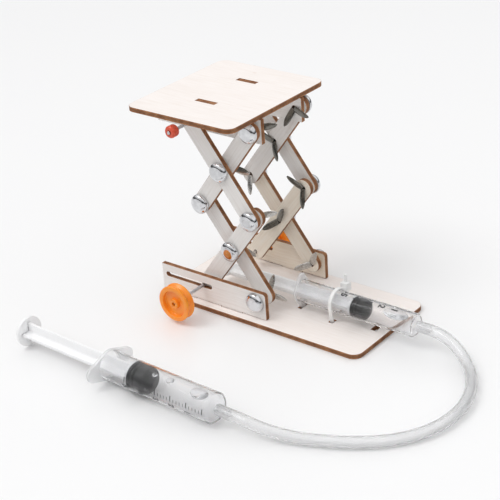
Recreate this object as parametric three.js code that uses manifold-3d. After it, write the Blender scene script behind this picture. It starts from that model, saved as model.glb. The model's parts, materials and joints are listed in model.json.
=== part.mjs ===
// Hydraulic scissor lift kit: a two-stage plywood scissor lift, raised and lowered by a lift syringe that
// slides its lower axle, and worked through a hose from a larger hand syringe that lies beside it.
// Millimetres. +X runs along the base towards the hose end, +Y to the far rail, +Z up.
// The origin is the middle of the base plate's underside.
import * as THREE from "three";
import { mergeVertices } from "three/addons/utils/BufferGeometryUtils.js";
import Module from "manifold-3d";

const wasm = await Module();
wasm.setup();

// ---- plywood ----
const PLY = 2.8;
const PLY_GAP = 1.6;
const PITCH = PLY + PLY_GAP;
const FIT = 0.3;
const CUT_PAST = 1;
const ROUND_STEPS = 6;
const SAME_POINT = 1e-4;

// ---- base and rails ----
const BASE = { length: 143.6, width: 70, corner: 6 };
const RAIL = { start: -BASE.length / 2, length: 77.6, foot: PLY + FIT, top: 19.5, corner: 2, tabLength: 15.2 };
const RAIL_TAB_CENTRES = [-54, -19.5];

// Plies are counted in layers from the inside out, one PITCH apart; layer 2 holds the rail on each side.
const RAIL_LAYER = 2;
const RAIL_Y = { near: -28.2, far: 30.7 };
const INWARD = { near: 1, far: -1 };
const layerY = (side, layer) => RAIL_Y[side] + INWARD[side] * (RAIL_LAYER - layer) * PITCH;

// ---- scissor ----
const PIVOT_X = -1.2;
const PIVOT_Z = 13.2;
const ARM_REACH = 64.5;
const ARM_WIDTH = 10.9;
const ARM_ANGLE = THREE.MathUtils.degToRad(52.85);
const STAGE_WIDTH = ARM_REACH * Math.cos(ARM_ANGLE);
const STAGE_HEIGHT = ARM_REACH * Math.sin(ARM_ANGLE);
const AXLE_X = PIVOT_X - STAGE_WIDTH;
const MIDDLE_X = PIVOT_X - STAGE_WIDTH / 2;
const STAGE_TOP_Z = PIVOT_Z + STAGE_HEIGHT;
const TOP_PIVOT_Z = STAGE_TOP_Z + STAGE_HEIGHT;
const SLIDE_SLOT = { start: -67.5, end: -35.2, radius: 1.5 };

// ---- platform ----
const PLATFORM = { length: 75, width: 87, corner: 5.5, x: -34.2, y: -3, abovePivot: 7 };
const PLATFORM_FOOT = TOP_PIVOT_Z + PLATFORM.abovePivot;
const BRACKET = { start: -71.5, length: 75.3, height: 14.6, tabCentre: -35.1, tabLength: 13.2 };
const BRACKET_Y = { near: layerY("near", 0), far: layerY("far", -1) };

// ---- split pins ----
const PIN = {
  headRadius: 5.9,
  headHeight: 3.4,
  shankRadius: 1.4,
  sides: 16,
  shankSides: 12,
  sunk: 0.5,
  play: 0.4,
};
const PIN_HOLE_RADIUS = PIN.shankRadius + PIN.play;
const PIN_LEG = { length: 12, width: 3, thickness: 0.7 };
// The head's dome, as [fraction of its height, fraction of its radius] from the crown to the underside.
const PIN_DOME = [[1, 0], [1, 0.55], [0.86, 0.82], [0.55, 1], [0, 1], [0, 0]];
// Each pin's outer layer, inner layer and two legs, in order from the rail pivot up to the bracket pivot. A leg
// is [degrees up from +X, degrees that it springs back from the ply].
const PIN_HOLDS = {
  near: [
    [2, 0, [80, 20], [-20, 20]],
    [1, 0, [150, 20], [-35, 20]],
    [2, 1, [17, 20], [200, 0]],
    [1, 0, [60, 20], [-120, 20]],
    [2, 1, [-10, 20], [170, 0]],
    [1, 0, [190, 20], [15, 20]],
  ],
  far: [
    [2, 1, [205, 22], [60, 10]],
    [1, 0, [214, 22], [60, 10]],
    [1, 0, [138, 18], [-80, 18]],
    [1, 0, [160, 20], [-77, 20]],
    [1, 0, [-65, 18], [155, 0]],
    [0, -1, [247, 22], [-12, 10]],
  ],
};

// ---- axles, pulleys and collars ----
const AXLE_RADIUS = 1;
const AXLE_SIDES = 16;
const AXLE_HOLE_RADIUS = AXLE_RADIUS + FIT;
const LOWER_AXLE_ENDS = [-55.6, 45.8];
const UPPER_AXLE_ENDS = [-47.4, 42.6];
const PULLEY = { radius: 11, width: 6.2, groove: 1.3, web: 1.8, rim: 2.9, lip: 1.3, hub: 2.9, sides: 28 };
const PULLEY_Y = { near: -53.7, far: 43.9 };
const COLLAR = { radius: 3.6, length: 5.2, edge: 0.6, sides: 16 };
const COLLAR_Y = { near: -44, far: 39 };

// ---- syringes: each lies along +X from thumb disc to nozzle, turned by yaw about [0, y] ----
const THUMB_PAST_AXLE = 5;
const LIFT = {
  y: -4.4,
  z: PIVOT_Z,
  yaw: 0,
  thumbX: AXLE_X - THUMB_PAST_AXLE,
  thumbRadius: 6.4,
  ribWidth: 9,
  flangeX: 12.5,
  flangeThickness: 1.7,
  flange: { alongY: false, reach: 11.3, middle: 7.3, tip: 2.8 },
  frontX: 91.2,
  radius: 6.8,
  bore: 5.9,
  pistonFront: 59.8,
  pistonLength: 9.4,
};
const HAND = {
  y: -121.6,
  z: 9.2,
  yaw: THREE.MathUtils.degToRad(-1.8),
  thumbX: -95.2,
  thumbRadius: 8.9,
  ribWidth: 11.4,
  flangeX: -32.2,
  flangeThickness: 2,
  flange: { alongY: true, reach: 17.1, middle: 9, tip: 4.6 },
  frontX: 45.9,
  radius: 8.6,
  bore: 7.6,
  pistonFront: 0.4,
  pistonLength: 12.2,
};
const NOZZLE = { radius: 1.9, bore: 1, length: 8.5 };
const BARREL_SIDES = 20;
const SHOULDER = 1.2;
const END_WALL = 1.4;
const THUMB_THICKNESS = 1.8;
const RIB_THICKNESS = 1.5;
const SEAT = { inset: 0.5, thickness: 1.5 };
const KNOB = { radius: 2.4, length: 4, sides: 12 };
const PISTON = { gap: 0.15, waist: 0.86, rib: 0.16, nose: 1.2, noseRadius: 0.92 };
const AXLE_BOSS_RADIUS = 3.2;
const WELD = 0.5;

// ---- base slots and cable tie ----
const FLANGE_SLOT = { x: LIFT.flangeX + LIFT.flangeThickness / 2, y: LIFT.y, length: 2.4, width: 7 };
const END_SLOT = { x: 63.5, y: -3.6, length: 3.4, width: 5.4 };
const TIE = { x: 38.2, width: 2.2, thickness: 1 };
const TIE_SLOT = { length: 2.8, width: 4.2, offset: 5.6, groove: 1.7 };
const TIE_STEPS = 10;
const TIE_WRAP = THREE.MathUtils.degToRad(7);
const TIE_HEAD = { length: 4.6, width: 4.4, height: 5.2, out: 8.7, up: 5.8 };
const TIE_TAIL = { width: 1.8, height: 5.4, up: 10.6 };

// ---- hose ----
const HOSE = { radius: 3.25, bore: 2.5, sides: 8, steps: 40 };
const HOSE_ROUTE = [
  [91.5, -4.4, 13.2],
  [97, -4.4, 13.2],
  [102.5, -4.4, 13],
  [108, -4.6, 12],
  [114, -5.4, 10],
  [120, -7.4, 7.4],
  [126, -11.2, 5],
  [131.6, -16.8, 3.7],
  [136.6, -24, 3.3],
  [141, -33, 3.3],
  [144.2, -43.5, 3.3],
  [145.2, -55.5, 3.3],
  [143.6, -67.5, 3.3],
  [139.4, -78.8, 3.3],
  [132.8, -88.6, 3.3],
  [124.2, -97, 3.3],
  [114, -104, 3.3],
  [102.5, -110, 3.3],
  [91, -115, 3.6],
  [80, -118.8, 4.8],
  [70, -121.4, 6.8],
  [61, -122.8, 8.5],
  [53.5, -123.3, 9.1],
  [46.2, -123.06, 9.2],
];

// ---- finishes ----
const FINISHES = {
  ply: { color: 0xf0dcc2, roughness: 0.7, metalness: 0 },
  chrome: { color: 0xd8dade, roughness: 0.12, metalness: 1 },
  steel: { color: 0xb9bcc0, roughness: 0.25, metalness: 1 },
  orange: { color: 0xff8a1e, roughness: 0.35, metalness: 0 },
  red: { color: 0xd8442a, roughness: 0.35, metalness: 0 },
  syringe: { color: 0xf0f3f4, roughness: 0.2, metalness: 0 },
  plunger: { color: 0xf6f7f8, roughness: 0.35, metalness: 0 },
  rubber: { color: 0x1b1b1c, roughness: 0.6, metalness: 0 },
  hose: { color: 0xe9eef0, roughness: 0.15, metalness: 0 },
  tie: { color: 0xf4f4f2, roughness: 0.4, metalness: 0 },
};

const kit = new THREE.Group();

function addPart(name, geometry, finish, place = new THREE.Group()) {
  const mesh = new THREE.Mesh(geometry, new THREE.MeshStandardMaterial(FINISHES[finish]));
  mesh.name = name;
  place.add(mesh);
  kit.add(place);
  return mesh;
}

// ---- joining and cutting ----
function toSolid(geometry) {
  const bare = geometry.clone();
  bare.deleteAttribute("normal");
  bare.deleteAttribute("uv");
  const merged = mergeVertices(bare, SAME_POINT);
  return new wasm.Manifold(new wasm.Mesh({
    numProp: 3,
    vertProperties: new Float32Array(merged.attributes.position.array),
    triVerts: new Uint32Array(merged.index.array),
  }));
}

function toGeometry(solid) {
  const mesh = solid.getMesh();
  const geometry = new THREE.BufferGeometry();
  geometry.setAttribute("position", new THREE.BufferAttribute(new Float32Array(mesh.vertProperties), 3));
  geometry.setIndex(new THREE.BufferAttribute(new Uint32Array(mesh.triVerts), 1));
  geometry.computeVertexNormals();
  return geometry;
}

const joined = (pieces) => pieces.map(toSolid).reduce((whole, piece) => whole.add(piece));

function cut(body, tools) {
  let solid = Array.isArray(body) ? joined(body) : toSolid(body);
  for (const tool of tools) {
    solid = solid.subtract(toSolid(tool));
  }
  return toGeometry(solid);
}

const join = (pieces) => toGeometry(joined(pieces));

// ---- basic shapes ----
function box(low, high) {
  const size = high.map((value, axis) => value - low[axis]);
  const middle = high.map((value, axis) => (value + low[axis]) / 2);
  return new THREE.BoxGeometry(...size).translate(...middle);
}

// A round bar along an axis letter, from one end to the other; centre holds its other two coordinates.
function rod(axis, radius, from, to, centre, sides) {
  const bar = new THREE.CylinderGeometry(radius, radius, to - from, sides);
  const middle = (from + to) / 2;
  if (axis === "x") {
    return bar.rotateZ(-Math.PI / 2).translate(middle, ...centre);
  }
  return bar.translate(centre[0], middle, centre[1]);
}

// A profile of [distance along the axis, radius] points turned about the X axis.
function turnedX(profile, sides) {
  const points = profile.map(([along, radius]) => new THREE.Vector2(radius, along));
  return new THREE.LatheGeometry(points, sides).rotateZ(-Math.PI / 2);
}

// A closed profile of the same kind turned about a line along Y.
function turnedY(profile, sides, x, y, z) {
  const points = profile.map(([along, radius]) => new THREE.Vector2(radius, along));
  points.push(points[0].clone());
  return new THREE.LatheGeometry(points, sides).translate(x, y, z);
}

const PLY_EXTRUSION = { depth: PLY, bevelEnabled: false, curveSegments: ROUND_STEPS };

// A flat outline in the XZ plane, made into a plate whose middle lies at y.
function uprightPlate(shape, y) {
  const plate = new THREE.ExtrudeGeometry(shape, PLY_EXTRUSION);
  return plate.rotateX(Math.PI / 2).translate(0, y + PLY / 2, 0);
}

function flatPlate(shape, z) {
  const plate = new THREE.ExtrudeGeometry(shape, PLY_EXTRUSION);
  return plate.translate(0, 0, z);
}

function roundedRectangle(x0, y0, x1, y1, radius) {
  const shape = new THREE.Shape();
  shape.moveTo(x0 + radius, y0);
  shape.lineTo(x1 - radius, y0);
  shape.absarc(x1 - radius, y0 + radius, radius, -Math.PI / 2, 0);
  shape.lineTo(x1, y1 - radius);
  shape.absarc(x1 - radius, y1 - radius, radius, 0, Math.PI / 2);
  shape.lineTo(x0 + radius, y1);
  shape.absarc(x0 + radius, y1 - radius, radius, Math.PI / 2, Math.PI);
  shape.lineTo(x0, y0 + radius);
  shape.absarc(x0 + radius, y0 + radius, radius, Math.PI, 1.5 * Math.PI);
  return shape;
}

// The sliding axle's straight slot with round ends, at height z.
function slidePath(z) {
  const { start, end, radius } = SLIDE_SLOT;
  const path = new THREE.Path();
  path.moveTo(start, z - radius);
  path.lineTo(end, z - radius);
  path.absarc(end, z, radius, -Math.PI / 2, Math.PI / 2);
  path.lineTo(start, z + radius);
  path.absarc(start, z, radius, Math.PI / 2, 1.5 * Math.PI);
  return path;
}

function holePath(x, y, radius) {
  const path = new THREE.Path();
  path.absarc(x, y, radius, 0, 2 * Math.PI);
  return path;
}

// ---- base plate and rails ----
function throughBase(x, y, length, width) {
  return box([x - length / 2, y - width / 2, -CUT_PAST], [x + length / 2, y + width / 2, PLY + CUT_PAST]);
}

// The cable tie passes under the base in a shallow groove between its two slots.
function tieGroove() {
  const reach = { x: TIE_SLOT.length / 2, y: TIE_SLOT.offset + TIE_SLOT.width / 2 };
  const low = [TIE.x - reach.x, LIFT.y - reach.y, -CUT_PAST];
  return box(low, [TIE.x + reach.x, LIFT.y + reach.y, TIE_SLOT.groove]);
}

function basePlate() {
  const half = { x: BASE.length / 2, y: BASE.width / 2 };
  const outline = roundedRectangle(-half.x, -half.y, half.x, half.y, BASE.corner);
  const tools = [tieGroove()];
  for (const y of Object.values(RAIL_Y)) {
    for (const x of RAIL_TAB_CENTRES) {
      tools.push(throughBase(x, y, RAIL.tabLength + 2 * FIT, PLY + 2 * FIT));
    }
  }
  for (const { x, y, length, width } of [FLANGE_SLOT, END_SLOT]) {
    tools.push(throughBase(x, y, length, width));
  }
  for (const side of [-1, 1]) {
    tools.push(throughBase(TIE.x, LIFT.y + side * TIE_SLOT.offset, TIE_SLOT.length, TIE_SLOT.width));
  }
  return cut(flatPlate(outline, 0), tools);
}

function rail(y) {
  const end = RAIL.start + RAIL.length;
  const shape = new THREE.Shape();
  shape.moveTo(RAIL.start, RAIL.foot);
  for (const x of RAIL_TAB_CENTRES) {
    shape.lineTo(x - RAIL.tabLength / 2, RAIL.foot);
    shape.lineTo(x - RAIL.tabLength / 2, FIT);
    shape.lineTo(x + RAIL.tabLength / 2, FIT);
    shape.lineTo(x + RAIL.tabLength / 2, RAIL.foot);
  }
  shape.lineTo(end, RAIL.foot);
  shape.absarc(end - RAIL.corner, RAIL.top - RAIL.corner, RAIL.corner, 0, Math.PI / 2);
  shape.lineTo(RAIL.start, RAIL.top);
  shape.holes.push(slidePath(PIVOT_Z));
  shape.holes.push(holePath(PIVOT_X, PIVOT_Z, PIN_HOLE_RADIUS));
  return uprightPlate(shape, y);
}

// ---- scissor arms ----
// An arm lies along its own X from one end hole to the other; firstHole is the radius of the hole at its start.
function arm(firstHole) {
  const half = ARM_WIDTH / 2;
  const shape = new THREE.Shape();
  shape.moveTo(0, -half);
  shape.lineTo(ARM_REACH, -half);
  shape.absarc(ARM_REACH, 0, half, -Math.PI / 2, Math.PI / 2);
  shape.lineTo(0, half);
  shape.absarc(0, 0, half, Math.PI / 2, 1.5 * Math.PI);
  shape.holes.push(holePath(0, 0, firstHole));
  shape.holes.push(holePath(ARM_REACH / 2, 0, PIN_HOLE_RADIUS));
  shape.holes.push(holePath(ARM_REACH, 0, PIN_HOLE_RADIUS));
  return uprightPlate(shape, 0);
}

// Every arm starts at AXLE_X, at height startZ, and rises or falls towards PIVOT_X.
function placeArm(name, y, startZ, rising, firstHole) {
  const place = new THREE.Group();
  place.position.set(AXLE_X, y, startZ);
  place.rotation.y = rising ? -ARM_ANGLE : ARM_ANGLE;
  addPart(name, arm(firstHole), "ply", place);
}

function addArms() {
  const layers = {
    near: { lowerSlide: 1, lowerFixed: 0, upperSlide: 2, upperFixed: 1 },
    far: { lowerSlide: 0, lowerFixed: 1, upperSlide: 1, upperFixed: 0 },
  };
  for (const [side, layer] of Object.entries(layers)) {
    const y = (kind) => layerY(side, layer[kind]);
    placeArm(`${side}_arm_lower_slide`, y("lowerSlide"), PIVOT_Z, true, AXLE_HOLE_RADIUS);
    placeArm(`${side}_arm_lower_fixed`, y("lowerFixed"), STAGE_TOP_Z, false, PIN_HOLE_RADIUS);
    placeArm(`${side}_arm_upper_slide`, y("upperSlide"), TOP_PIVOT_Z, false, AXLE_HOLE_RADIUS);
    placeArm(`${side}_arm_upper_fixed`, y("upperFixed"), STAGE_TOP_Z, true, PIN_HOLE_RADIUS);
  }
}

// ---- split pins ----
// One leg, its root against the ply's inner face at the depth given from the head's underside.
function pinLeg(depth, [up, spring]) {
  const { length, width, thickness } = PIN_LEG;
  const leg = new THREE.BoxGeometry(length, thickness, width).translate(length / 2, thickness / 2, 0);
  leg.rotateZ(THREE.MathUtils.degToRad(spring)).translate(0, depth, 0);
  return leg.rotateY(-THREE.MathUtils.degToRad(up));
}

// The head's underside is at the origin, and the shank runs along +Y to the legs.
function splitPin(depth, legs) {
  const dome = PIN_DOME.map(([up, out]) => new THREE.Vector2(out * PIN.headRadius, -up * PIN.headHeight));
  const head = new THREE.LatheGeometry(dome, PIN.sides);
  const shank = rod("y", PIN.shankRadius, -PIN.sunk, depth + PIN_LEG.thickness, [0, 0], PIN.shankSides);
  return join([head, shank, ...legs.map((leg) => pinLeg(depth, leg))]);
}

// outer and inner are the Y middles of the outermost and innermost plies that the pin holds. A far pin is a
// near one turned half round about Z, so its legs' angles are mirrored to keep their meaning.
function placePin(name, x, z, outer, inner, legs) {
  const inward = Math.sign(inner - outer);
  const depth = Math.abs(inner - outer) + PLY + 2 * FIT;
  const turned = legs.map(([up, spring]) => [inward > 0 ? up : 180 - up, spring]);
  const place = new THREE.Group();
  place.position.set(x, outer - inward * (PLY / 2 + FIT), z);
  place.rotation.z = inward > 0 ? 0 : Math.PI;
  addPart(name, splitPin(depth, turned), "chrome", place);
}

function addPins() {
  const spots = [
    [PIVOT_X, PIVOT_Z],
    [MIDDLE_X, PIVOT_Z + STAGE_HEIGHT / 2],
    [PIVOT_X, STAGE_TOP_Z],
    [AXLE_X, STAGE_TOP_Z],
    [MIDDLE_X, STAGE_TOP_Z + STAGE_HEIGHT / 2],
    [PIVOT_X, TOP_PIVOT_Z],
  ];
  for (const [side, pins] of Object.entries(PIN_HOLDS)) {
    pins.forEach(([outer, inner, ...legs], index) => {
      const [x, z] = spots[index];
      placePin(`${side}_pin_${index + 1}`, x, z, layerY(side, outer), layerY(side, inner), legs);
    });
  }
}

// ---- platform and brackets ----
// A rectangular hole for a bracket's tab, FIT clear of it all round.
function tabHole(y) {
  const reach = { x: BRACKET.tabLength / 2 + FIT, y: PLY / 2 + FIT };
  const corners = [[-1, -1], [1, -1], [1, 1], [-1, 1]];
  return new THREE.Path(corners.map(([sideX, sideY]) => (
    new THREE.Vector2(BRACKET.tabCentre + sideX * reach.x, y + sideY * reach.y)
  )));
}

function platformPlate() {
  const { x, y, length, width, corner } = PLATFORM;
  const outline = roundedRectangle(x - length / 2, y - width / 2, x + length / 2, y + width / 2, corner);
  outline.holes.push(tabHole(BRACKET_Y.near), tabHole(BRACKET_Y.far));
  return flatPlate(outline, PLATFORM_FOOT);
}

function bracket(y) {
  const top = PLATFORM_FOOT - FIT;
  const tabTop = top + PLY;
  const foot = PLATFORM_FOOT - BRACKET.height;
  const end = BRACKET.start + BRACKET.length;
  const halfTab = BRACKET.tabLength / 2;
  const tab = { start: BRACKET.tabCentre - halfTab, end: BRACKET.tabCentre + halfTab };
  const shape = new THREE.Shape();
  shape.moveTo(BRACKET.start, foot);
  shape.lineTo(end, foot);
  shape.lineTo(end, top);
  shape.lineTo(tab.end, top);
  shape.lineTo(tab.end, tabTop);
  shape.lineTo(tab.start, tabTop);
  shape.lineTo(tab.start, top);
  shape.lineTo(BRACKET.start, top);
  shape.holes.push(slidePath(TOP_PIVOT_Z));
  shape.holes.push(holePath(PIVOT_X, TOP_PIVOT_Z, PIN_HOLE_RADIUS));
  return uprightPlate(shape, y);
}

// ---- axles, pulleys and collars ----
// Two rims with a V groove between them, a thin web recessed on both faces, and a hub.
function pulley(y) {
  const { width, radius, groove, lip, hub, sides } = PULLEY;
  const half = width / 2;
  const web = PULLEY.web / 2;
  const rimInside = radius - PULLEY.rim;
  const profile = [
    [-half, AXLE_HOLE_RADIUS], [-half, hub], [-web, hub],
    [-web, rimInside], [-half, rimInside], [-half, radius],
    [-half + lip, radius], [0, radius - groove], [half - lip, radius], [half, radius],
    [half, rimInside], [web, rimInside], [web, hub], [half, hub], [half, AXLE_HOLE_RADIUS],
  ];
  return turnedY(profile, sides, AXLE_X, y, PIVOT_Z);
}

function collar(y) {
  const { radius, edge, sides } = COLLAR;
  const half = COLLAR.length / 2;
  const profile = [
    [-half, AXLE_HOLE_RADIUS], [-half, radius - edge], [-half + edge, radius],
    [half - edge, radius], [half, radius - edge], [half, AXLE_HOLE_RADIUS],
  ];
  return turnedY(profile, sides, AXLE_X, y, TOP_PIVOT_Z);
}

function addAxles() {
  addPart("lower_axle", rod("y", AXLE_RADIUS, ...LOWER_AXLE_ENDS, [AXLE_X, PIVOT_Z], AXLE_SIDES), "steel");
  addPart("upper_axle", rod("y", AXLE_RADIUS, ...UPPER_AXLE_ENDS, [AXLE_X, TOP_PIVOT_Z], AXLE_SIDES), "steel");
  for (const side of ["near", "far"]) {
    addPart(`${side}_pulley`, pulley(PULLEY_Y[side]), "orange");
    addPart(`${side}_collar`, collar(COLLAR_Y[side]), "red");
  }
}

// ---- syringes: each is built along the X axis and then placed ----
// A finger flange: the outline round a large middle circle and a small one at each end of its reach.
function flangePlate({ flangeX, flangeThickness, flange }) {
  const { alongY, reach, middle, tip } = flange;
  const tangent = Math.acos((middle - tip) / (reach - tip));
  const outline = new THREE.Shape();
  outline.absarc(reach - tip, 0, tip, -tangent, tangent);
  outline.absarc(0, 0, middle, tangent, Math.PI - tangent);
  outline.absarc(tip - reach, 0, tip, Math.PI - tangent, Math.PI + tangent);
  outline.absarc(0, 0, middle, Math.PI + tangent, 2 * Math.PI - tangent);
  const plate = new THREE.ExtrudeGeometry(outline, {
    depth: flangeThickness, bevelEnabled: false, curveSegments: ROUND_STEPS,
  });
  plate.rotateZ(alongY ? Math.PI / 2 : 0).rotateY(Math.PI / 2);
  return plate.translate(flangeX, 0, 0);
}

function barrel(syringe) {
  const { flangeX, frontX, radius, bore } = syringe;
  const tip = frontX + NOZZLE.length;
  const floor = frontX - END_WALL;
  const outside = turnedX([
    [flangeX, 0], [flangeX, radius], [frontX - SHOULDER, radius], [frontX, radius - SHOULDER],
    [frontX, NOZZLE.radius], [tip, NOZZLE.radius], [tip, 0],
  ], BARREL_SIDES);
  const inside = turnedX([
    [flangeX - CUT_PAST, 0], [flangeX - CUT_PAST, bore], [floor, bore],
    [floor, NOZZLE.bore], [tip + CUT_PAST, NOZZLE.bore], [tip + CUT_PAST, 0],
  ], BARREL_SIDES);
  return cut([outside, flangePlate(syringe)], [inside]);
}

// The rubber piston: a thick body with two sealing ribs and a pocket for the plunger's knob.
function piston({ bore, pistonFront, pistonLength }) {
  const rear = pistonFront - pistonLength;
  const lip = bore - PISTON.gap;
  const waist = bore * PISTON.waist;
  const rib = pistonLength * PISTON.rib;
  const pocket = KNOB.radius + FIT;
  const floor = rear + KNOB.length + FIT;
  const shoulder = pistonFront - PISTON.nose;
  return turnedX([
    [floor, 0], [floor, pocket], [rear, pocket],
    [rear, lip], [rear + rib, lip], [rear + rib, waist], [rear + 2 * rib, waist], [rear + 2 * rib, lip],
    [shoulder, lip], [shoulder, lip * PISTON.noseRadius], [pistonFront, 0],
  ], BARREL_SIDES);
}

// Four crossed ribs between a thumb disc and the disc that seats against the piston.
function plungerPieces({ bore, thumbX, thumbRadius, pistonFront, pistonLength, ribWidth }) {
  const seat = pistonFront - pistonLength - FIT;
  const half = ribWidth / 2;
  const thin = RIB_THICKNESS / 2;
  return [
    rod("x", thumbRadius, thumbX - THUMB_THICKNESS, thumbX, [0, 0], BARREL_SIDES),
    box([thumbX - WELD, -thin, -half], [seat - WELD, thin, half]),
    box([thumbX - WELD, -half, -thin], [seat - WELD, half, thin]),
    rod("x", bore - SEAT.inset, seat - SEAT.thickness, seat, [0, 0], BARREL_SIDES),
    rod("x", KNOB.radius, seat - WELD, seat + KNOB.length, [0, 0], KNOB.sides),
  ];
}

// The lift plunger has a cross boss near its thumb disc, which the lower axle passes through.
function liftPlunger() {
  const half = LIFT.ribWidth / 2;
  const boss = rod("y", AXLE_BOSS_RADIUS, -half, half, [AXLE_X, 0], BARREL_SIDES);
  const hole = rod("y", AXLE_HOLE_RADIUS, -half - CUT_PAST, half + CUT_PAST, [AXLE_X, 0], BARREL_SIDES);
  return cut([...plungerPieces(LIFT), boss], [hole]);
}

function addSyringe(name, syringe, plunger) {
  const pieces = [["barrel", barrel(syringe), "syringe"], ["plunger", plunger, "plunger"]];
  pieces.push(["piston", piston(syringe), "rubber"]);
  const place = new THREE.Group();
  place.position.set(0, syringe.y, syringe.z);
  place.rotation.z = syringe.yaw;
  for (const [kind, geometry, finish] of pieces) {
    addPart(`${name}_${kind}`, geometry, finish, place);
  }
}

// ---- cable tie ----
// A flat band down one slot, under the base in its groove, up the other and over the barrel.
function tieLoop(path, halfFoot, reach, foot) {
  path.moveTo(-halfFoot, foot);
  path.lineTo(halfFoot, foot);
  path.absarc(0, LIFT.z, reach, -TIE_WRAP, Math.PI + TIE_WRAP);
  path.closePath();
  return path;
}

// The tie's head grips the band beside the barrel on its far upper side, and its tail stands straight up.
function cableTie() {
  const inner = LIFT.radius + FIT;
  const halfBand = TIE.thickness / 2;
  const band = tieLoop(new THREE.Shape(), TIE_SLOT.offset + halfBand, inner + TIE.thickness, FIT);
  band.holes.push(tieLoop(new THREE.Path(), TIE_SLOT.offset - halfBand, inner, FIT + TIE.thickness));
  const strap = new THREE.ExtrudeGeometry(band, {
    depth: TIE.width, bevelEnabled: false, curveSegments: TIE_STEPS,
  });
  strap.rotateX(Math.PI / 2).rotateZ(Math.PI / 2).translate(TIE.x - TIE.width / 2, LIFT.y, 0);
  const head = new THREE.BoxGeometry(TIE_HEAD.length, TIE_HEAD.width, TIE_HEAD.height);
  head.translate(TIE.x, LIFT.y + TIE_HEAD.out, LIFT.z + TIE_HEAD.up);
  const tail = new THREE.BoxGeometry(TIE_TAIL.width, TIE.thickness, TIE_TAIL.height);
  tail.translate(TIE.x, LIFT.y + TIE_HEAD.out, LIFT.z + TIE_TAIL.up);
  return join([strap, head, tail]);
}

// ---- hose ----
function hose() {
  const points = HOSE_ROUTE.map((point) => new THREE.Vector3(...point));
  const route = new THREE.CatmullRomCurve3(points, false, "centripetal");
  const section = new THREE.Shape();
  const bore = new THREE.Path();
  for (let side = 0; side < HOSE.sides; side += 1) {
    const angle = (2 * Math.PI * side) / HOSE.sides;
    const step = side === 0 ? "moveTo" : "lineTo";
    section[step](HOSE.radius * Math.cos(angle), HOSE.radius * Math.sin(angle));
    bore[step](HOSE.bore * Math.cos(angle), HOSE.bore * Math.sin(angle));
  }
  section.closePath();
  bore.closePath();
  section.holes.push(bore);
  return new THREE.ExtrudeGeometry(section, { steps: HOSE.steps, extrudePath: route, bevelEnabled: false });
}

// ---- assembly ----
addPart("base_plate", basePlate(), "ply");
addPart("platform", platformPlate(), "ply");
for (const side of ["near", "far"]) {
  addPart(`${side}_rail`, rail(RAIL_Y[side]), "ply");
  addPart(`${side}_bracket`, bracket(BRACKET_Y[side]), "ply");
}
addArms();
addPins();
addAxles();
addSyringe("lift", LIFT, liftPlunger());
addSyringe("hand", HAND, join(plungerPieces(HAND)));
addPart("cable_tie", cableTie(), "tie");
addPart("hose", hose(), "hose");

export default kit;
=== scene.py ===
import json
import math

import bmesh
import bpy
from mathutils import Matrix, Vector


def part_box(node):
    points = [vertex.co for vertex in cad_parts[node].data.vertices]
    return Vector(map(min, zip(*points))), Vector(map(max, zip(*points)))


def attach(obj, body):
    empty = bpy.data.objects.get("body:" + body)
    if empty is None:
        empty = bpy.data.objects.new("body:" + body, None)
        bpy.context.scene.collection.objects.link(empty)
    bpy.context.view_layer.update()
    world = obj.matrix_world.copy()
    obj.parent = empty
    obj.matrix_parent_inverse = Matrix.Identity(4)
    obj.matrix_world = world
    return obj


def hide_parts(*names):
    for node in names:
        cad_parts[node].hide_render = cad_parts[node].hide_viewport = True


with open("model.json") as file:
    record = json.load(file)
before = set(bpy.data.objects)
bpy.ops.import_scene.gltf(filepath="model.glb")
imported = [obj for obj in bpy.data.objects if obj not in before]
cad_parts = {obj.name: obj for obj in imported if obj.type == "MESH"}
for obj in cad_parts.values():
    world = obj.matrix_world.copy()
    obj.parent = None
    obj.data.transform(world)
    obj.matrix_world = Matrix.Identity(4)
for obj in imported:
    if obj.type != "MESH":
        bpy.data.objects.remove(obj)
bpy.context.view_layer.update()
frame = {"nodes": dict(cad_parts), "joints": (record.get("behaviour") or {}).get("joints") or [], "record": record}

MM = 0.001
record = frame["record"]
NODES = frame["nodes"]
BODY_OF = {n: body for body, names in record["behaviour"]["bodies"].items() for n in names}
JOINT_AT = {j["name"]: Vector(j["pos_m"]) for j in frame["joints"] if j.get("pos_m")}
# The gap that touching solids keep in the CAD model.
FIT = 0.3 * MM
AXLE_HOLE = 1.3 * MM


# ---------------------------------------------------------------- camera
# Angles are in radians, and the focal length is in widths of the sensor.
CAMERA = {"azimuth": 0.6948, "elevation": 0.4702, "roll": -0.0714, "distance": 836.6 * MM,
          "target": Vector((-27.367, 0, 26.679)) * MM, "focal": 2.81998}
SENSOR = 36


def add_camera():
    a, e, r = CAMERA["azimuth"], CAMERA["elevation"], CAMERA["roll"]
    back = Vector((math.sin(a) * math.cos(e), -math.cos(a) * math.cos(e), math.sin(e)))
    right = Vector((math.cos(a), math.sin(a), 0))
    up = back.cross(right)
    turned_right = right * math.cos(r) + up * math.sin(r)
    turned_up = up * math.cos(r) - right * math.sin(r)
    rotation = Matrix((turned_right, turned_up, back)).transposed().to_4x4()
    data = bpy.data.cameras.new("camera")
    data.sensor_width = SENSOR
    data.lens = CAMERA["focal"] * SENSOR
    data.clip_start = 0.01
    data.clip_end = 20
    camera = bpy.data.objects.new("camera", data)
    bpy.context.scene.collection.objects.link(camera)
    place = CAMERA["target"] + back * CAMERA["distance"]
    camera.matrix_world = Matrix.Translation(place) @ rotation
    bpy.context.scene.camera = camera


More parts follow.
